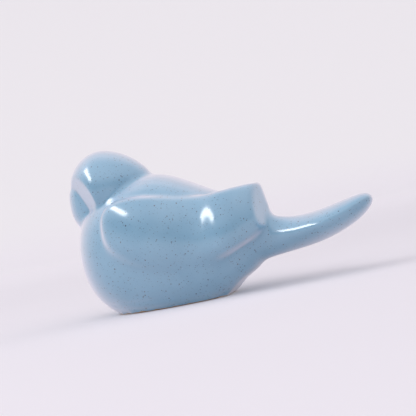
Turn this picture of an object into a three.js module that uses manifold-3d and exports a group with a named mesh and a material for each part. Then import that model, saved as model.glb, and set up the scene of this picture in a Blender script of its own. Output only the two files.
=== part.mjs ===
// A small stoneware bird with a speckled pale blue glaze, hand-built from separately formed pieces of clay.
// The torso is a hollow egg closed underneath by a base slab with a vent hole. The head, beak, wings and tail
// are formed on their own and luted to the torso with slip before firing, and nothing on it moves.
// Millimetres. +X is the way the bird faces, +Y its left side, +Z up; the origin is on the foot, where the
// torso is widest.
import * as THREE from "three";
import { mergeVertices } from "three/addons/utils/BufferGeometryUtils.js";
import Module from "manifold-3d";

// Torso: an egg lying along X, widest at the origin, blunt at the breast and dropping a little to the rump,
// whose underside is tucked up in one flat slope from the foot to the tail
const breastReach = 26.9;
const rumpReach = 35;
const torsoWidth = 37.6;
const backHeight = 40.9;
const keelDepth = 3.9;
const rumpDrop = 2.4;
const rumpDropReach = 18;
const breastBluntness = 2.4;
const rumpBluntness = 1.5;
const torsoSquareness = 2.2;
const tuckLength = 14;
const wall = 4.5;

// Base slab: the bottom of the egg, cut flat for the foot, with a vent hole behind its middle
const slabThickness = 4;
const ventDiameter = 7;
const ventBack = 8;

// Head: a ball drawn out into the nape, cut flat where it sits on the torso, and under the brow in two faces
// that slant back to the cheeks
const headSetback = 11.1;
const headSink = 2;
const faceReach = 11.2;
const napeReach = 16;
const headWidth = 25;
const headHeight = 25.4;
const faceBluntness = 2;
const napeBluntness = 1.6;
const neckTilt = 23;
const browLead = 3;
const browRise = 6;
const browTilt = 20;
const cheekSlant = 41;

// Beak: a pinched ridge between the brow faces, tucked down from the face against the breast
const beakLength = 21;
const beakDrop = 13.4;
const beakProud = 1.5;
const beakDepth = 18;
const beakWidth = 12.5;
const beakBluntness = 2.4;
const beakSharpness = 2;

// Wings: each middle line runs under the torso's side from the shoulder to a drawn-in waist, swings out again
// in a leaf-like flap and crosses the middle over the tail, where the two tips meet and are bevelled
const wingSetback = 13.4;
const wingFrontRise = 8;
const shoulderForward = -1;
const shoulderInset = 2.6;
const shoulderRise = 5;
const waistLead = 8.8;
const waistInset = 3.95;
const waistRise = 5;
const flapLead = 13.3;
const flapInset = -0.35;
const flapRise = 6.5;
const tipOverhang = 5.4;
const tipTrim = 2.5;
const tipBevel = 18;
const tipRake = 9;
const tipRise = 10;
const tipCrossing = 3.8;
const shoulderDepth = 25;
const tipDepth = 17.4;
const shoulderThickness = 11;
const tipThickness = 8;
const shoulderLean = 3;
const tipLean = 26;
const wingFrontBluntness = 3;
const wingRearBluntness = 4.5;
const wingSquareness = 2.3;

// Tail: a paddle with lifted edges that takes the place of the rump's trimmed end, narrows there, spreads
// again and curves up to a round tip
const rumpTrim = 6;
const tailLength = 36.6;
const tailWidth = 15;
const tailNeckWidth = 7.5;
const tailNeckFlare = 3;
const tailSpread = 20;
const tailThickness = 8.7;
const tailDip = 4.3;
const tailTipRise = 5.4;
const tailFlare = 6.5;
const tailEdgeLift = 0.5;
const tailTipBluntness = 2.4;
const tailRootBluntness = 12;
const tailSharpness = 1.6;

// Joints between pieces of clay, and the fineness of the round forms
const jointGap = 0.3;
const torsoFacets = [48, 40];
const cavityFacets = [32, 22];
const headFacets = [44, 30];
const beakFacets = [28, 16];
const wingFacets = [36, 40];
const tailFacets = [36, 36];
const ventFacets = 32;
const farAway = 200;
const weldDistance = 1e-5;

const wasm = await Module();
wasm.setup();

const { degToRad, lerp, smoothstep, clamp } = THREE.MathUtils;

// Fullness of a form at a station from -1 to 1 along it, closing to nothing at both ends
function swell(station, bluntness) {
  return Math.max(0, 1 - Math.abs(station) ** bluntness) ** (1 / bluntness);
}

// One coordinate of a rounded section: squareness 2 is an ellipse, less draws the sides out to edges
function rounded(value, squareness) {
  return Math.sign(value) * Math.abs(value) ** (2 / squareness);
}

function solidOf(geometry) {
  geometry.deleteAttribute("normal");
  geometry.deleteAttribute("uv");
  const welded = mergeVertices(geometry, weldDistance);
  return new wasm.Manifold(
    new wasm.Mesh({
      numProp: 3,
      vertProperties: new Float32Array(welded.attributes.position.array),
      triVerts: new Uint32Array(welded.index.array),
    }),
  );
}

// A closed form: a unit ball with its poles on X, each point moved to place(station, sideways, upwards)
function formed([around, along], place) {
  const geometry = new THREE.SphereGeometry(1, around, along).rotateZ(-Math.PI / 2);
  const position = geometry.attributes.position;
  for (let i = 0; i < position.count; i += 1) {
    const y = position.getY(i);
    const z = position.getZ(i);
    const ring = Math.hypot(y, z);
    const onAxis = ring < weldDistance;
    const point = place(clamp(position.getX(i), -1, 1), onAxis ? 0 : y / ring, onAxis ? 0 : z / ring);
    position.setXYZ(i, ...point);
  }
  return solidOf(geometry);
}

// Everything on the side of a plane that its normal points to
function beyond(point, normal) {
  const turn = new THREE.Quaternion().setFromUnitVectors(new THREE.Vector3(0, 0, 1), normal);
  const middle = point.clone().addScaledVector(normal, farAway / 2);
  const block = new THREE.BoxGeometry(farAway, farAway, farAway);
  return solidOf(block.applyQuaternion(turn).translate(...middle));
}

// The way a slanting face looks: along X, tilted up and then turned out to one side, in degrees
function facing(along, upwards, side, outwards) {
  const up = degToRad(upwards);
  const out = degToRad(outwards);
  return new THREE.Vector3(along * Math.cos(up), 0, Math.sin(up))
    .multiplyScalar(Math.cos(out))
    .setY(side * Math.sin(out));
}

// The torso's section at a place along X: the height of its middle, and how full it is there
function torsoMiddle(x) {
  return (backHeight - keelDepth) / 2 - rumpDrop * smoothstep(-x, 0, rumpDropReach);
}

function torsoFullness(x, grow = 0) {
  const ahead = x > 0;
  return swell(x / ((ahead ? breastReach : rumpReach) + grow), ahead ? breastBluntness : rumpBluntness);
}

function torsoForm(grow, facets) {
  return formed(facets, (station, sideways, upwards) => {
    const x = station * ((station > 0 ? breastReach : rumpReach) + grow);
    const full = torsoFullness(x, grow);
    const halfWidth = (torsoWidth / 2 + grow) * full;
    const halfHeight = ((backHeight + keelDepth) / 2 + grow) * full;
    return [
      x,
      halfWidth * rounded(sideways, torsoSquareness),
      torsoMiddle(x) + halfHeight * rounded(upwards, torsoSquareness),
    ];
  });
}

const headForward = breastReach - headSetback;
const headLift = backHeight - headSink;

function headForm() {
  return formed(headFacets, (station, sideways, upwards) => {
    const full = swell(station, station > 0 ? faceBluntness : napeBluntness);
    return [
      headForward + station * (station > 0 ? faceReach : napeReach),
      (headWidth / 2) * full * sideways,
      headLift + (headHeight / 2) * full * upwards,
    ];
  });
}

// The beak stands upright, so its station runs from its point below to the brow above
function beakForm() {
  const ridge = headForward + faceReach + beakProud;
  const point = headLift - beakDrop;
  return formed(beakFacets, (station, sideways, backwards) => {
    const full = swell(station, beakBluntness);
    return [
      ridge - (beakDepth / 2) * (1 + full * rounded(backwards, beakSharpness)),
      (beakWidth / 2) * full * rounded(sideways, beakSharpness),
      point + (beakLength / 2) * (1 + station),
    ];
  });
}

const tailJoint = -rumpReach + rumpTrim;

// A point on a wing's middle line, set in from the torso's side and raised above the torso's middle
function wingPoint(x, inset, rise) {
  return new THREE.Vector3(x, (torsoWidth / 2) * torsoFullness(x) - inset, torsoMiddle(x) + rise);
}

// side is 1 for the left wing and -1 for the right one
function wingForm(side) {
  const tipX = tailJoint - tipOverhang - tipTrim;
  const flapX = tipX + flapLead;
  const shoulder = wingPoint(shoulderForward, shoulderInset, shoulderRise);
  const spine = new THREE.CatmullRomCurve3([
    new THREE.Vector3(breastReach - wingSetback, shoulder.y, torsoMiddle(0) + wingFrontRise),
    shoulder,
    wingPoint(flapX + waistLead, waistInset, waistRise),
    wingPoint(flapX, flapInset, flapRise),
    new THREE.Vector3(tipX, tipThickness / 2 - tipCrossing, torsoMiddle(tipX) + tipRise),
  ]);
  return formed(wingFacets, (station, sideways, upwards) => {
    const along = (1 - station) / 2;
    const middle = spine.getPoint(along);
    const full = swell(station, station > 0 ? wingFrontBluntness : wingRearBluntness);
    const lean = degToRad(lerp(shoulderLean, tipLean, along));
    const halfThickness = (lerp(shoulderThickness, tipThickness, along) / 2) * full;
    const halfDepth = (lerp(shoulderDepth, tipDepth, along) / 2) * full;
    const out = halfThickness * rounded(side * sideways, wingSquareness);
    const up = halfDepth * rounded(upwards, wingSquareness);
    return [
      middle.x,
      side * (middle.y + out * Math.cos(lean) - up * Math.sin(lean)),
      middle.z + up * Math.cos(lean) + out * Math.sin(lean),
    ];
  });
}

// The tail starts ahead of its joint with the rump's own section there and flares down to the paddle's
function tailForm(grow) {
  const rootFull = torsoFullness(tailJoint);
  const rootMiddle = torsoMiddle(tailJoint);
  const spine = new THREE.QuadraticBezierCurve(
    new THREE.Vector2(tailJoint, rootMiddle),
    new THREE.Vector2(tailJoint - tailLength / 2, rootMiddle - tailDip),
    new THREE.Vector2(tailJoint - tailLength, rootMiddle + tailTipRise),
  );
  return formed(tailFacets, (station, sideways, upwards) => {
    const reach = lerp(tailLength, -rumpTrim, (1 + station) / 2);
    const behind = Math.max(0, reach);
    const middle = spine.getPoint(behind / tailLength);
    const ahead = spine.getTangent(behind / tailLength);
    const flared = Math.exp(-behind / tailFlare);
    const necked = Math.exp(-behind / tailNeckFlare);
    const paddleWidth = lerp(tailNeckWidth, tailWidth, Math.min(1, behind / tailSpread));
    const full = swell(station, station > 0 ? tailRootBluntness : tailTipBluntness);
    const squareness = lerp(tailSharpness, torsoSquareness, flared * flared);
    const halfWidth = lerp(paddleWidth, torsoWidth * rootFull, necked) / 2 + grow;
    const halfThickness = lerp(tailThickness, (backHeight + keelDepth) * rootFull, flared) / 2 + grow;
    const out = full * rounded(sideways, squareness);
    const lift = lerp(tailEdgeLift, 0, flared) * Math.abs(out);
    const up = halfThickness * full * rounded(upwards, squareness) + lift;
    return [
      middle.x - Math.min(0, reach) + ahead.y * up,
      halfWidth * out,
      middle.y - ahead.x * up,
    ];
  });
}

const forward = new THREE.Vector3(1, 0, 0);
const backward = new THREE.Vector3(-1, 0, 0);
const sideward = new THREE.Vector3(0, 1, 0);
const upward = new THREE.Vector3(0, 0, 1);
const downward = new THREE.Vector3(0, 0, -1);
const neckPoint = new THREE.Vector3(0, 0, backHeight);
const neckUp = new THREE.Vector3(Math.sin(degToRad(neckTilt)), 0, Math.cos(degToRad(neckTilt)));
const neckFace = neckPoint.clone().addScaledVector(neckUp, jointGap);
const browPoint = new THREE.Vector3(headForward + faceReach + browLead, 0, headLift + browRise);

// What lies ahead of the two brow faces, which meet in a fold down the middle of the head
function aheadOfBrow(gap) {
  const [left, right] = [1, -1].map((side) => {
    const out = facing(1, -browTilt, side, cheekSlant);
    return beyond(browPoint.clone().addScaledVector(out, gap), out);
  });
  return left.add(right);
}

// What lies under the rump's slope, or under that slope moved inwards
function underRump(inset) {
  const halfHeight = ((backHeight + keelDepth) / 2) * torsoFullness(tailJoint);
  const slope = new THREE.Vector3(-tuckLength, 0, torsoMiddle(tailJoint) - halfHeight);
  const under = slope.cross(sideward).normalize();
  const footEnd = new THREE.Vector3(tailJoint + tuckLength, 0, 0);
  return beyond(footEnd.addScaledVector(under, -inset), under);
}

const torso = torsoForm(0, torsoFacets).subtract(underRump(0));
const torsoSeat = torsoForm(jointGap, torsoFacets);
const tailSeat = tailForm(jointGap);

function bodyShell() {
  const cavity = torsoForm(-wall, cavityFacets)
    .subtract(beyond(neckPoint.clone().addScaledVector(neckUp, -wall), neckUp))
    .subtract(beyond(new THREE.Vector3(tailJoint + wall, 0, 0), backward))
    .subtract(underRump(wall));
  return torso
    .subtract(beyond(new THREE.Vector3(0, 0, slabThickness + jointGap), downward))
    .subtract(beyond(neckPoint, neckUp))
    .subtract(beyond(new THREE.Vector3(tailJoint, 0, 0), backward))
    .subtract(cavity);
}

function baseSlab() {
  const vent = new THREE.CylinderGeometry(ventDiameter / 2, ventDiameter / 2, farAway, ventFacets);
  return torso
    .subtract(beyond(new THREE.Vector3(0, 0, slabThickness), upward))
    .subtract(beyond(new THREE.Vector3(0, 0, 0), downward))
    .subtract(solidOf(vent.rotateX(Math.PI / 2).translate(-ventBack, 0, 0)));
}

function headPiece() {
  return headForm()
    .subtract(beyond(neckFace, neckUp.clone().negate()))
    .subtract(aheadOfBrow(0));
}

function beakPiece() {
  const bodySeat = torsoSeat.subtract(beyond(neckFace, neckUp));
  return beakForm().intersect(aheadOfBrow(jointGap)).subtract(bodySeat);
}

function wingPiece(side) {
  const tipX = tailJoint - tipOverhang;
  const tipPoint = new THREE.Vector3(tipX, 0, torsoMiddle(tipX) + tipRise);
  return wingForm(side)
    .subtract(torsoSeat)
    .subtract(tailSeat)
    .subtract(beyond(new THREE.Vector3(0, side * (jointGap / 2), 0), new THREE.Vector3(0, -side, 0)))
    .subtract(beyond(tipPoint, facing(-1, tipRake, side, tipBevel)));
}

function tailPiece() {
  return tailForm(0).subtract(beyond(new THREE.Vector3(tailJoint - jointGap, 0, 0), forward));
}

const glaze = { color: 0x86aac2, roughness: 0.12, metalness: 0 };
const bareClay = { color: 0xc79f78, roughness: 0.85, metalness: 0 };
const bird = new THREE.Group();

// Trimming can leave loose slivers, so only the largest body of a piece is kept
function addPiece(name, solid, look) {
  const body = solid.decompose().reduce((best, part) => (part.volume() > best.volume() ? part : best));
  const mesh = body.getMesh();
  const geometry = new THREE.BufferGeometry();
  geometry.setAttribute("position", new THREE.Float32BufferAttribute(mesh.vertProperties, 3));
  geometry.setIndex(new THREE.Uint32BufferAttribute(mesh.triVerts, 1));
  geometry.computeVertexNormals();
  const piece = new THREE.Mesh(geometry, new THREE.MeshStandardMaterial(look));
  piece.name = name;
  bird.add(piece);
}

addPiece("body_shell", bodyShell(), glaze);
addPiece("base_slab", baseSlab(), bareClay);
addPiece("head", headPiece(), glaze);
addPiece("beak", beakPiece(), glaze);
addPiece("left_wing", wingPiece(1), glaze);
addPiece("right_wing", wingPiece(-1), glaze);
addPiece("tail", tailPiece(), glaze);

export default bird;
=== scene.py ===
import math

import bmesh
import bpy
from mathutils import Matrix, Vector
from mathutils.bvhtree import BVHTree
from mathutils.kdtree import KDTree


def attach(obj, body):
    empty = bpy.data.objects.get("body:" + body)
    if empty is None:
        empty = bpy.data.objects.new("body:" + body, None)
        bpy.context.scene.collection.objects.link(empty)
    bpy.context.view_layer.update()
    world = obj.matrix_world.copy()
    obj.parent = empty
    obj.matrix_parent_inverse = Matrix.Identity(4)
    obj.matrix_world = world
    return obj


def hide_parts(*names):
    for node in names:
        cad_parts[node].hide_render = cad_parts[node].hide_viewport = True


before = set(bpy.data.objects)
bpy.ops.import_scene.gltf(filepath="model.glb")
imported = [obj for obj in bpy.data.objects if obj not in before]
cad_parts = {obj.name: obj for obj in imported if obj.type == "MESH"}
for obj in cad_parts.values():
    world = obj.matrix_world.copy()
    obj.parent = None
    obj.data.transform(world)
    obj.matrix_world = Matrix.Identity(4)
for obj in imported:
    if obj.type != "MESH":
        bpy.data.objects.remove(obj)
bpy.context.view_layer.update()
millimetre = 0.001
weldDistance = 0.001 * millimetre
onFloor = 0.01 * millimetre  # a point lower than this is in the foot's face


def linked(name, mesh):
    piece = bpy.data.objects.new(name, mesh)
    bpy.context.scene.collection.objects.link(piece)
    return piece


def meshOf(name, form):  # a bmesh becomes a linked object
    mesh = bpy.data.meshes.new(name)
    form.to_mesh(mesh)
    form.free()
    return linked(name, mesh)


def settled(piece):  # the modifiers' result becomes the mesh itself
    bpy.context.view_layer.update()
    seen = piece.evaluated_get(bpy.context.evaluated_depsgraph_get())
    mesh = bpy.data.meshes.new_from_object(seen)
    piece.modifiers.clear()
    piece.data = mesh
    return piece


def clayCopy(node):  # a CAD piece with its loose triangles merged
    form = bmesh.new()
    form.from_mesh(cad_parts[node].data)
    bmesh.ops.remove_doubles(form, verts=form.verts, dist=weldDistance)
    return form


def grown(form, distance):  # every point pushed out along its normal
    form.normal_update()
    for v in form.verts:
        v.co += v.normal * distance
    return form


def treeOf(node):
    form = clayCopy(node)
    tree = BVHTree.FromBMesh(form)
    form.free()
    return tree


# the skin: all the clay under one coat, joints closed, blended as wet clay is
skin = {
    "swell": 0.22 * millimetre,
    "voxel": 0.3 * millimetre,
    "footDrop": 2.0 * millimetre,  # the foot starts lower, so its edge stays crisp when trimmed
    "facetPasses": 20,  # evens the CAD facets everywhere
    "hollowPasses": 150,  # how broad a hollow has to be to count as one; its depth sets the painted shade in hollows
    "smoothing": 0.5,
}
zonePasses = {  # smoothed one after the other
    "soft": 40,  # everywhere but on the pinched edges
    "neck": 60,  # where head and beak meet the body
    "front": 70,  # the wings' leading edges
    "crest": 90,  # the wing tips
    "flap": 280,  # under the flaps, and where the wing tips meet the tail
    "belly": 420,  # the wings' lower edges, rubbed into the belly
    "lute": 260,  # where the tail is smeared into the rump
    "chin": 300,  # the beak's point, rubbed into the breast
    "tuck": 200,  # the slope under the rump
}
zone = {  # millimetres, each pair from where a weight is 0 to where it is 1
    "reach": 3.0,  # how far a joint's smoothing spreads
    "pinch": (1.5, 0.4),  # gap to a piece that keeps its edges
    "tailHeldBack": (-32, -36),  # the tail keeps them behind here
    "frontAhead": (-18, -8),
    "crestBack": (-26, -31),
    "crestUp": (24, 27),
    "flapBack": (-8, -18),
    "flapDown": (23, 18),
    "bellyAhead": (-22, -10),
    "bellyDown": (24, 15),
    "chinMiddle": (7, 3),
    "tuckBack": (-8, -14),
    "tuckDown": (16, 11),
    "tuckUp": (3, 5),  # not on the slab
}
luted = ["left_wing", "right_wing", "beak", "head", "tail"]
glazed = ["body_shell", *luted]


def plainSlab(drop):  # the base slab without its vent, its foot moved down
    form = clayCopy("base_slab")
    hull = bmesh.ops.convex_hull(form, input=form.verts)
    bmesh.ops.delete(form, geom=hull["geom_interior"], context="VERTS")
    foot = [v for v in form.verts if v.co.z < onFloor]
    bmesh.ops.translate(form, verts=foot, vec=(0, 0, -drop))
    return form


def joinedClay():
    whole = bmesh.new()
    for form in [plainSlab(skin["footDrop"]), *(clayCopy(node) for node in glazed)]:
        piece = meshOf("clay", grown(form, skin["swell"]))
        whole.from_mesh(piece.data)
        bpy.data.objects.remove(piece)
    return meshOf("skin", whole)


def remeshed(piece, voxel):
    step = piece.modifiers.new("remesh", "REMESH")
    step.mode = "VOXEL"
    step.voxel_size = voxel
    return settled(piece)


def islands(form):
    left = set(form.verts)
    found = []
    while left:
        group, rim = set(), [left.pop()]
        while rim:
            v = rim.pop()
            group.add(v)
            for e in v.link_edges:
                other = e.other_vert(v)
                if other in left:
                    left.discard(other)
                    rim.append(other)
        found.append(group)
    return sorted(found, key=len, reverse=True)


def keepLargest(piece):
    form = bmesh.new()
    form.from_mesh(piece.data)
    for group in islands(form)[1:]:
        bmesh.ops.delete(form, geom=list(group), context="VERTS")
    form.to_mesh(piece.data)
    form.free()
    return piece


def ease(low, high, value):  # smooth step from 0 at low to 1 at high
    t = min(1.0, max(0.0, (value - low) / (high - low)))
    return t * t * (3 - 2 * t)


def smoothed(piece, passes, group=""):
    step = piece.modifiers.new(group, "SMOOTH")
    step.factor = skin["smoothing"]
    step.iterations = passes
    step.vertex_group = group
    return piece


def zoneWeights(x, y, z, gap):  # by the place and how near the CAD pieces are
    reach = zone["reach"]
    body = gap["body_shell"]
    wing = min(gap["left_wing"], gap["right_wing"])
    side = max(body, wing)
    heldTail = ease(*zone["pinch"], gap["tail"]) * ease(*zone["tailHeldBack"], x)
    heldBeak = ease(*zone["pinch"], gap["beak"])
    flap = ease(reach * 2, reach, side) * ease(*zone["flapBack"], x) * ease(*zone["flapDown"], z)
    belly = ease(reach * 2, 0, side) * ease(*zone["bellyAhead"], x) * ease(*zone["bellyDown"], z)
    chin = ease(reach * 2, 0, max(body, gap["beak"])) * ease(*zone["chinMiddle"], abs(y))
    tuck = ease(*zone["tuckBack"], x) * ease(*zone["tuckDown"], z) * ease(*zone["tuckUp"], z)
    return {
        "soft": 1 - max(heldTail, heldBeak),
        "neck": ease(reach, 0, max(body, min(gap["head"], gap["beak"]))),
        "front": ease(reach, 0, side) * ease(*zone["frontAhead"], x),
        "crest": ease(reach, 0, wing) * ease(*zone["crestBack"], x) * ease(*zone["crestUp"], z),
        "flap": max(flap, ease(reach, 0, max(gap["tail"], wing))),
        "belly": belly,
        "lute": ease(reach, 0, max(body, gap["tail"])),
        "chin": chin,
        "tuck": tuck,
    }


def markZones(piece):
    trees = {node: treeOf(node) for node in glazed}
    groups = {name: piece.vertex_groups.new(name=name) for name in zonePasses}
    for v in piece.data.vertices:
        gap = {node: tree.find_nearest(v.co)[3] / millimetre for node, tree in trees.items()}
        place = [c / millimetre for c in v.co]
        for name, weight in zoneWeights(*place, gap).items():
            groups[name].add([v.index], weight, "REPLACE")


clay = keepLargest(remeshed(joinedClay(), skin["voxel"]))
print("skin", len(clay.data.vertices), "points")
markZones(clay)
smoothed(clay, skin["facetPasses"])
for name, passes in zonePasses.items():
    smoothed(clay, passes, name)
settled(clay)
clay.vertex_groups.clear()
broad = smoothed(linked("broad", clay.data.copy()), skin["hollowPasses"])
settled(broad)
surface = KDTree(len(clay.data.vertices))
for v in clay.data.vertices:
    surface.insert(v.co, v.index)
surface.balance()
skinNormals = [v.normal.copy() for v in clay.data.vertices]
skinHollows = [(b.co - v.co).dot(v.normal) / millimetre  # how deep a hollow each point lies in
             for v, b in zip(clay.data.vertices, broad.data.vertices)]
bpy.data.objects.remove(broad)
print("skin smoothed, pools", round(min(skinHollows), 2), round(max(skinHollows), 2))

# the pieces: the skin cut along the joints, each piece closed where it meets the next
cut = {
    "margin": 0.9 * millimetre,  # how far a piece takes in the smear round its joint
    "voxel": 0.5 * millimetre,
    "glazeLine": 0.3 * millimetre,  # bare clay shows below this
    "onSkin": 0.02 * millimetre,
    "sameSide": 0.7,  # a face that leans further from the skin is a joint face
    "neighbours": 3,
    "nearest": 1e-9,
    "trimSize": 1.0,
    "cavityMiddle": (-0.001, 0, 0.0175),
    "cavitySize": (0.022, 0.0135, 0.0155),
    "cavitySteps": (48, 24),
}


def carved(piece, cutter, operation):
    step = piece.modifiers.new(operation, "BOOLEAN")
    step.object = cutter
    step.operation = operation
    step.solver = "MANIFOLD"
    return settled(piece)


def lutedPiece(node, rest):
    region = remeshed(meshOf("region", grown(clayCopy(node), cut["margin"])), cut["voxel"])
    piece = keepLargest(carved(linked(node + "_glazed", rest.data.copy()), region, "INTERSECT"))
    carved(rest, piece, "DIFFERENCE")
    bpy.data.objects.remove(region)
    return piece


def hollowBody(rest):
    slab = meshOf("slab", plainSlab(skin["footDrop"] * 2))
    carved(rest, slab, "DIFFERENCE")
    bpy.data.objects.remove(slab)
    below = bmesh.new()
    bmesh.ops.create_cube(below, size=cut["trimSize"])
    middle = cut["glazeLine"] - cut["trimSize"] / 2
    bmesh.ops.translate(below, verts=below.verts, vec=(0, 0, middle))
    trim = meshOf("trim", below)
    carved(rest, trim, "DIFFERENCE")
    bpy.data.objects.remove(trim)
    inside = bmesh.new()
    around, along = cut["cavitySteps"]
    bmesh.ops.create_uvsphere(inside, u_segments=around, v_segments=along, radius=1)
    bmesh.ops.scale(inside, verts=inside.verts, vec=cut["cavitySize"])
    bmesh.ops.translate(inside, verts=inside.verts, vec=cut["cavityMiddle"])
    cavity = meshOf("cavity", inside)
    carved(rest, cavity, "DIFFERENCE")
    bpy.data.objects.remove(cavity)
    return rest


def carrySkin(piece):  # the skin's normals and hollow depths, so that no joint shows in the glaze
    mesh = piece.data
    hollowDepths, normals, onSkin = [], [], []
    for v in mesh.vertices:
        found = surface.find_n(v.co, cut["neighbours"])
        shares = [(i, 1 / (distance + cut["nearest"])) for _, i, distance in found]
        total = sum(share for _, share in shares)
        normal = sum((skinNormals[i] * share for i, share in shares), Vector())
        normals.append(normal.normalized())
        hollowDepths.append(sum(skinHollows[i] * share for i, share in shares) / total)
        onSkin.append(abs((v.co - found[0][0]).dot(normals[-1])) < cut["onSkin"])
    corners = [None] * len(mesh.loops)
    for polygon in mesh.polygons:
        polygon.use_smooth = True
        outer = all(onSkin[i] for i in polygon.vertices)
        outer = outer and polygon.normal.dot(normals[polygon.vertices[0]]) > cut["sameSide"]
        for loop, i in zip(polygon.loop_indices, polygon.vertices):
            corners[loop] = normals[i] if outer else polygon.normal.copy()
    mesh.normals_split_custom_set(corners)
    mesh.attributes.new("hollowDepth", "FLOAT", "POINT").data.foreach_set("value", hollowDepths)


pieces = {node: lutedPiece(node, clay) for node in luted}
pieces["body_shell"] = keepLargest(hollowBody(clay))
pieces["body_shell"].name = "body_shell_glazed"
for node, piece in pieces.items():
    carrySkin(piece)
    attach(piece, "root")
    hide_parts(node)
    print(piece.name, len(piece.data.polygons), "faces")

# the base slab: bare clay under the glaze line, its edges rubbed round
slab = {
    "edge": 0.25 * millimetre,
    "steps": 2,
    "sharp": 35,
    "flatAngle": 0.01,
    "shown": 1.0 * millimetre,  # above this it is drawn in behind the glaze
    "drawnIn": 0.96,
}


def bareSlab():
    form = clayCopy("base_slab")
    bmesh.ops.dissolve_limit(form, angle_limit=slab["flatAngle"], verts=form.verts,
                             edges=form.edges)
    rim = [e for e in form.edges if all(v.co.z < onFloor for v in e.verts)]
    bmesh.ops.bevel(form, geom=rim, offset=slab["edge"], segments=slab["steps"], profile=0.5,
                    affect="EDGES", material=-1)
    hidden = [v for v in form.verts if v.co.z > slab["shown"]]
    bmesh.ops.scale(form, verts=hidden, vec=(slab["drawnIn"], slab["drawnIn"], 1))
    piece = meshOf("base_slab_bare", form)
    for polygon in piece.data.polygons:
        polygon.use_smooth = True
    piece.data.set_sharp_from_angle(angle=math.radians(slab["sharp"]))
    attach(piece, "root")
    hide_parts("base_slab")
    return piece


foot = bareSlab()
print(foot.name, len(foot.data.polygons), "faces")


# shader maths: a socket that can be used in sums
class Wire:
    def __init__(self, tree, socket=None):
        self.tree = tree
        self.socket = socket

    def node(self, kind, settings=None, sockets=None, out=0):
        made = self.tree.nodes.new(kind)
        for key, value in (settings or {}).items():
            setattr(made, key, value)
        for key, value in (sockets or {}).items():
            if isinstance(value, Wire):
                self.tree.links.new(value.socket, made.inputs[key])
            else:
                made.inputs[key].default_value = value
        return Wire(self.tree, made.outputs[out] if made.outputs else None)

    def maths(self, operation, first, second):
        return self.node("ShaderNodeMath", {"operation": operation}, {0: first, 1: second})

    def __add__(self, other):
        return self.maths("ADD", self, other)

    __radd__ = __add__

    def __sub__(self, other):
        return self.maths("SUBTRACT", self, other)

    def __rsub__(self, other):
        return self.maths("SUBTRACT", other, self)

    def __mul__(self, other):
        return self.maths("MULTIPLY", self, other)

    __rmul__ = __mul__

    def __truediv__(self, other):
        return self.maths("DIVIDE", self, other)

    def __rtruediv__(self, other):
        return self.maths("DIVIDE", other, self)


def newMaterial(name):
    material = bpy.data.materials.new(name)
    material.use_nodes = True
    tree = material.node_tree
    tree.nodes.clear()
    return material, Wire(tree)


def finishMaterial(wire, sockets, gloss=None):
    surface = wire.node("ShaderNodeBsdfPrincipled", {}, sockets)
    if gloss:
        shine = wire.node("ShaderNodeBsdfGlossy", {}, gloss["sockets"])
        surface = wire.node("ShaderNodeMixShader", {}, {0: gloss["share"], 1: surface, 2: shine})
    wire.node("ShaderNodeOutputMaterial", {}, {"Surface": surface})


def mixed(wire, share, first, second):
    return wire.node("ShaderNodeMix", {"data_type": "RGBA"}, {0: share, 6: first, 7: second}, 2)


def spread(wire, value, low, high, first=0.0, last=1.0):  # a soft step between two values
    return wire.node("ShaderNodeMapRange", {"interpolation_type": "SMOOTHSTEP"},
                     {"Value": value, "From Min": low, "From Max": high,
                      "To Min": first, "To Max": last})


def noise(wire, place, scale, detail):
    return wire.node("ShaderNodeTexNoise", {},
                     {"Vector": place, "Scale": scale, "Detail": detail})


def bumped(wire, height, strength, depth):
    return wire.node("ShaderNodeBump", {},
                     {"Height": height, "Strength": strength, "Distance": depth})


clayLook = {
    "tan": (0.52, 0.31, 0.15, 1),
    "pale": (0.66, 0.45, 0.26, 1),
    "grit": (0.16, 0.08, 0.04, 1),
    "grain": (900.0, 3.0),  # scale and detail
    "grainRelief": (0.25, 0.00012),  # strength and depth
    "roughness": (0.3, 0.7, 0.75, 0.95),
    "cloud": (160.0, 4.0),
    "cloudSpan": (0.35, 0.65),
    "gritScale": 1100.0,
    "gritSpot": (0.12, 0.2, 0.7, 0.0),
}


def clayColour(wire, place):
    cloud = noise(wire, place, *clayLook["cloud"])
    patch = spread(wire, cloud, *clayLook["cloudSpan"])
    body = mixed(wire, patch, clayLook["tan"], clayLook["pale"])
    cells = wire.node("ShaderNodeTexVoronoi", {},
                      {"Vector": place, "Scale": clayLook["gritScale"]})
    return mixed(wire, spread(wire, cells, *clayLook["gritSpot"]), body, clayLook["grit"])


def clayMaterial():
    material, wire = newMaterial("bare_clay")
    place = wire.node("ShaderNodeTexCoord", out=3)
    grain = noise(wire, place, *clayLook["grain"])
    relief = bumped(wire, grain, *clayLook["grainRelief"])
    finishMaterial(wire, {"Base Color": clayColour(wire, place), "Normal": relief,
                          "Roughness": spread(wire, grain, *clayLook["roughness"])})
    return material


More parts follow.
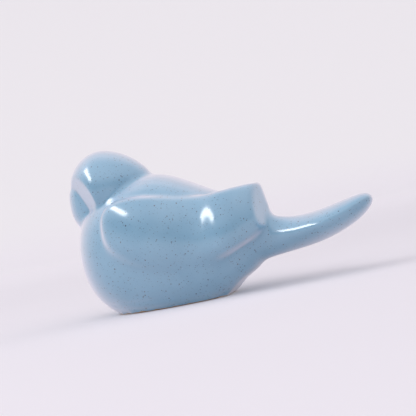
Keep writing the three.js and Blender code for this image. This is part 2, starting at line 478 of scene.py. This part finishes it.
glaze = {
    "hollowShade": (0.115, 0.30, 0.44, 1),  # painted shade: a darker blue put into hollows and creases
    "blue": (0.17, 0.38, 0.54, 1),
    "pale": (0.22, 0.435, 0.595, 1),
    "thin": (0.34, 0.45, 0.54, 1),  # where it breaks over a ridge
    "speckle": (0.018, 0.03, 0.065, 1),
    "rust": (0.06, 0.05, 0.055, 1),
    "cloud": (70.0, 3.0),  # scale and detail
    "cloudSpan": (0.3, 0.7),
    "hollowShading": (0.05, 0.5, 0.0, 0.7),  # depth of a hollow in mm, share of the painted shade colour
    "breaking": (-0.12, -0.5, 0.0, 0.55),  # the same for a ridge and the thin colour
    "breakingCloud": 0.2,
    "specks": {  # scale, size, share of the cells, strength
        "coarse": (620.0, 0.12, 1.0, 0.8),
        "middle": (900.0, 0.16, 0.9, 0.7),
        "fine": (1500.0, 0.22, 0.9, 0.45),
    },
    "speckSmallest": 0.45,
    "speckEdge": (0.55, 1.2, 1.0, 0.0),
    "rustCloud": (0.5, 0.6),
    "footLine": 0.00045,
    "footLineEnd": 0.6,
    "ragged": (300.0, 3.0),
    "raggedHeight": 0.0008,
    "wave": (260.0, 1.0),
    "waveRelief": (0.05, 0.0003),  # strength and depth
    "roughness": (0.2, 0.8, 0.10, 0.18),
    "bareRoughness": 0.6,
    "index": 1.5,
    "coatIndex": 1.9,
    "coatRoughness": 0.18,
    "rim": (0.22, 0.95, 0.0, 0.7),  # more gloss where the glaze is seen at a slant
    "rimBlend": 0.5,
    "rimTint": (0.97, 0.95, 1, 1),
    "rimRoughness": 0.3,
}


# round spots of uneven size in some of the cells
def specks(wire, place, scale, size, share, strength):
    cells = {"Vector": place, "Scale": scale, "Randomness": 1.0}
    distance = wire.node("ShaderNodeTexVoronoi", {}, cells)
    tint = wire.node("ShaderNodeTexVoronoi", {}, cells, 1)
    chance = wire.node("ShaderNodeSeparateColor", {}, {"Color": tint})
    girth = wire.node("ShaderNodeSeparateColor", {}, {"Color": tint}, 1)
    radius = girth * girth * size + size * glaze["speckSmallest"]
    spot = spread(wire, distance / radius, *glaze["speckEdge"])
    return spot * wire.maths("LESS_THAN", chance, share) * strength


def glazeColour(wire, place, cloud):
    hollowDepth = wire.node("ShaderNodeAttribute", {"attribute_name": "hollowDepth"}, out=2)
    colour = mixed(wire, spread(wire, cloud, *glaze["cloudSpan"]), glaze["blue"], glaze["pale"])
    # painted shade: hollows and creases darkened towards a deeper blue
    colour = mixed(wire, spread(wire, hollowDepth, *glaze["hollowShading"]), colour, glaze["hollowShade"])
    ridge = hollowDepth + cloud * glaze["breakingCloud"]
    colour = mixed(wire, spread(wire, ridge, *glaze["breaking"]), colour, glaze["thin"])
    spots = {name: specks(wire, place, *values) for name, values in glaze["specks"].items()}
    iron = mixed(wire, spread(wire, cloud, *glaze["rustCloud"]), glaze["speckle"], glaze["rust"])
    colour = mixed(wire, spots["fine"], colour, glaze["speckle"])
    return mixed(wire, wire.maths("MAXIMUM", spots["coarse"], spots["middle"]), colour, iron)


def glazeMaterial():
    material, wire = newMaterial("speckled_glaze")
    place = wire.node("ShaderNodeTexCoord", out=3)
    height = wire.node("ShaderNodeSeparateXYZ", {}, {"Vector": place}, 2)
    cloud = noise(wire, place, *glaze["cloud"])
    ragged = (noise(wire, place, *glaze["ragged"]) - 0.5) * glaze["raggedHeight"]
    footLine = glaze["footLine"]
    bare = spread(wire, height + ragged, footLine, footLine * glaze["footLineEnd"])
    colour = mixed(wire, bare, glazeColour(wire, place, cloud), clayColour(wire, place))
    wave = noise(wire, place, *glaze["wave"])
    slant = wire.node("ShaderNodeLayerWeight", {}, {"Blend": glaze["rimBlend"]}, 1)
    gloss = {
        "share": spread(wire, slant, *glaze["rim"]) * (1 - bare),
        "sockets": {"Color": glaze["rimTint"], "Roughness": glaze["rimRoughness"]},
    }
    finishMaterial(wire, {
        "Base Color": colour,
        "Normal": bumped(wire, wave, *glaze["waveRelief"]),
        "IOR": glaze["index"],
        "Roughness": spread(wire, cloud, *glaze["roughness"]) + bare * glaze["bareRoughness"],
        "Coat Weight": 1 - bare,
        "Coat Roughness": glaze["coatRoughness"],
        "Coat IOR": glaze["coatIndex"],
    }, gloss)
    return material


speckledGlaze = glazeMaterial()
for piece in pieces.values():
    piece.data.materials.clear()
    piece.data.materials.append(speckledGlaze)
foot.data.materials.clear()
foot.data.materials.append(clayMaterial())
print("materials")

# floor with a sweep up behind, and soft light
stage = {
    "colour": (0.67, 0.645, 0.68, 1),
    "tint": (0.70, 0.675, 0.71, 1),
    "wallColour": (0.26, 0.25, 0.265, 1),
    "grain": (6.0, 2.0),
    "glowTint": (1, 0.965, 1, 1),
    "floorGlow": 0.16,
    "farGlow": 0.3,
    "glowFrom": 0.1,
    "wallGlow": 0.62,
    "glowRise": 0.05,
    "front": 1.6,
    "back": 0.7,
    "half": 2.0,
    "sweep": 0.5,
    "wall": 1.5,
    "steps": 24,
    "roughness": 0.9,
}
view = {
    "azimuth": 198,
    "elevation": 5,
    "roll": -11.5,
    "lens": 95.0,
    "sensor": 36.0,
    "pixelsPerMetre": 3180,
    "foot": (178, 303),  # where the middle of the foot lands in the image
    "frame": 416,
}
turn = math.radians(view["azimuth"])
lift = math.radians(view["elevation"])
back = Vector((math.sin(turn) * math.cos(lift), -math.cos(turn) * math.cos(lift), math.sin(lift)))


def makeFloor():
    form = bmesh.new()
    near, end = stage["front"], -stage["back"]
    corners = [(-1, near), (1, near), (1, end), (-1, end)]
    points = [form.verts.new((side * stage["half"], y, 0)) for side, y in corners]
    form.faces.new(points)
    rear = form.edges.get((points[2], points[3]))
    bend = bmesh.ops.spin(form, geom=[rear, *rear.verts], cent=(0, end, stage["sweep"]),
                          axis=(1, 0, 0), dvec=(0, 0, 0), angle=-math.pi / 2,
                          steps=stage["steps"], use_merge=False, use_duplicate=False)
    last = [g for g in bend["geom_last"] if isinstance(g, bmesh.types.BMEdge)]
    wall = bmesh.ops.extrude_edge_only(form, edges=last)
    top = [g for g in wall["geom"] if isinstance(g, bmesh.types.BMVert)]
    bmesh.ops.translate(form, verts=top, vec=(0, 0, stage["wall"]))
    flat = Vector((back.x, back.y, 0)).normalized()
    facing = Matrix.Rotation(math.atan2(flat.y, flat.x) - math.pi / 2, 4, "Z")
    bmesh.ops.transform(form, matrix=facing, verts=form.verts)
    bmesh.ops.recalc_face_normals(form, faces=form.faces)
    floor = meshOf("floor", form)
    for polygon in floor.data.polygons:
        polygon.use_smooth = True
    material, wire = newMaterial("pale_floor")
    place = wire.node("ShaderNodeTexCoord", out=3)
    height = wire.node("ShaderNodeSeparateXYZ", {}, {"Vector": place}, 2)
    behind = wire.node("ShaderNodeVectorMath", {"operation": "DOT_PRODUCT"},
                       {0: place, 1: -flat}, 1)
    grain = noise(wire, place, *stage["grain"])
    up = spread(wire, height, 0.0, stage["glowRise"])
    far = spread(wire, behind, stage["glowFrom"], stage["back"])
    tint = mixed(wire, grain, stage["colour"], stage["tint"])
    cameraRay = wire.node("ShaderNodeLightPath")
    glossyRay = wire.node("ShaderNodeLightPath", out=3)
    seen = wire.maths("MAXIMUM", cameraRay, glossyRay)  # the glow lights nothing else
    glow = far * (stage["farGlow"] - stage["floorGlow"]) + stage["floorGlow"]
    glow = (glow + up * (stage["wallGlow"] - glow)) * seen
    lit = mixed(wire, glow, (0, 0, 0, 1), stage["glowTint"])
    finishMaterial(wire, {
        "Base Color": mixed(wire, up, tint, stage["wallColour"]),
        "Roughness": stage["roughness"],
        "Emission Color": lit,
        "Emission Strength": 1.0,
    })
    floor.data.materials.append(material)


makeFloor()


def makeCamera():
    lens = bpy.data.cameras.new("camera")
    lens.lens = view["lens"]
    lens.sensor_width = view["sensor"]
    focal = view["frame"] * lens.lens / lens.sensor_width
    away = focal / view["pixelsPerMetre"]
    upright = back.to_track_quat("Z", "Y").to_matrix()
    upright = upright @ Matrix.Rotation(math.radians(view["roll"]), 3, "Z")
    half = view["frame"] / 2
    seen = Vector((view["foot"][0] - half, half - view["foot"][1], -focal))
    aim = seen.rotation_difference(Vector((0, 0, -1))).to_matrix()
    camera = bpy.data.objects.new("camera", lens)
    camera.matrix_world = Matrix.Translation(back * away) @ (upright @ aim).to_4x4()
    bpy.context.scene.collection.objects.link(camera)
    bpy.context.scene.camera = camera
    return upright


eye = makeCamera()

lamps = {
    "key": {"toward": (-0.72, 0.57, 0.35), "along": (0.083, -0.368, 0.926), "distance": 0.9,
            "size": (0.14, 0.7), "power": 2.0},
}


def makeLamps():
    for name, lamp in lamps.items():
        light = bpy.data.lights.new(name, "AREA")
        light.shape = "RECTANGLE"
        light.size, light.size_y = lamp["size"]
        light.energy = lamp["power"]
        toward = (eye @ Vector(lamp["toward"])).normalized()
        along = eye @ Vector(lamp["along"])
        across = along.cross(toward).normalized()
        facing = Matrix((across, toward.cross(across), toward)).transposed()
        source = bpy.data.objects.new(name, light)
        source.matrix_world = Matrix.Translation(toward * lamp["distance"]) @ facing.to_4x4()
        bpy.context.scene.collection.objects.link(source)


makeLamps()
air = {
    "tint": (0.95, 0.92, 0.98, 1),
    "level": 0.9,
    "front": 0.42,  # less from the viewer's side
    "frontSpan": (-0.1, 0.6),
    "frontRise": (0.0, 0.3),
    "top": 1.08,
    "topRise": (0.2, 0.75),
}


def makeWorld():
    world = bpy.data.worlds.new("studio")
    bpy.context.scene.world = world
    world.use_nodes = True
    world.node_tree.nodes.clear()
    wire = Wire(world.node_tree)
    ray = wire.node("ShaderNodeTexCoord")
    rise = wire.node("ShaderNodeSeparateXYZ", {}, {"Vector": ray}, 2)
    viewer = wire.node("ShaderNodeVectorMath", {"operation": "DOT_PRODUCT"}, {0: ray, 1: back}, 1)
    dim = spread(wire, viewer, *air["frontSpan"]) * spread(wire, rise, *air["frontRise"])
    level = air["level"] - dim * (air["level"] - air["front"])
    level = level + spread(wire, rise, *air["topRise"]) * (air["top"] - level)
    glow = wire.node("ShaderNodeBackground", {}, {"Color": air["tint"], "Strength": level})
    wire.node("ShaderNodeOutputWorld", {}, {"Surface": glow})


makeWorld()
bpy.context.scene.view_settings.view_transform = "Standard"
print("floor, camera and light")
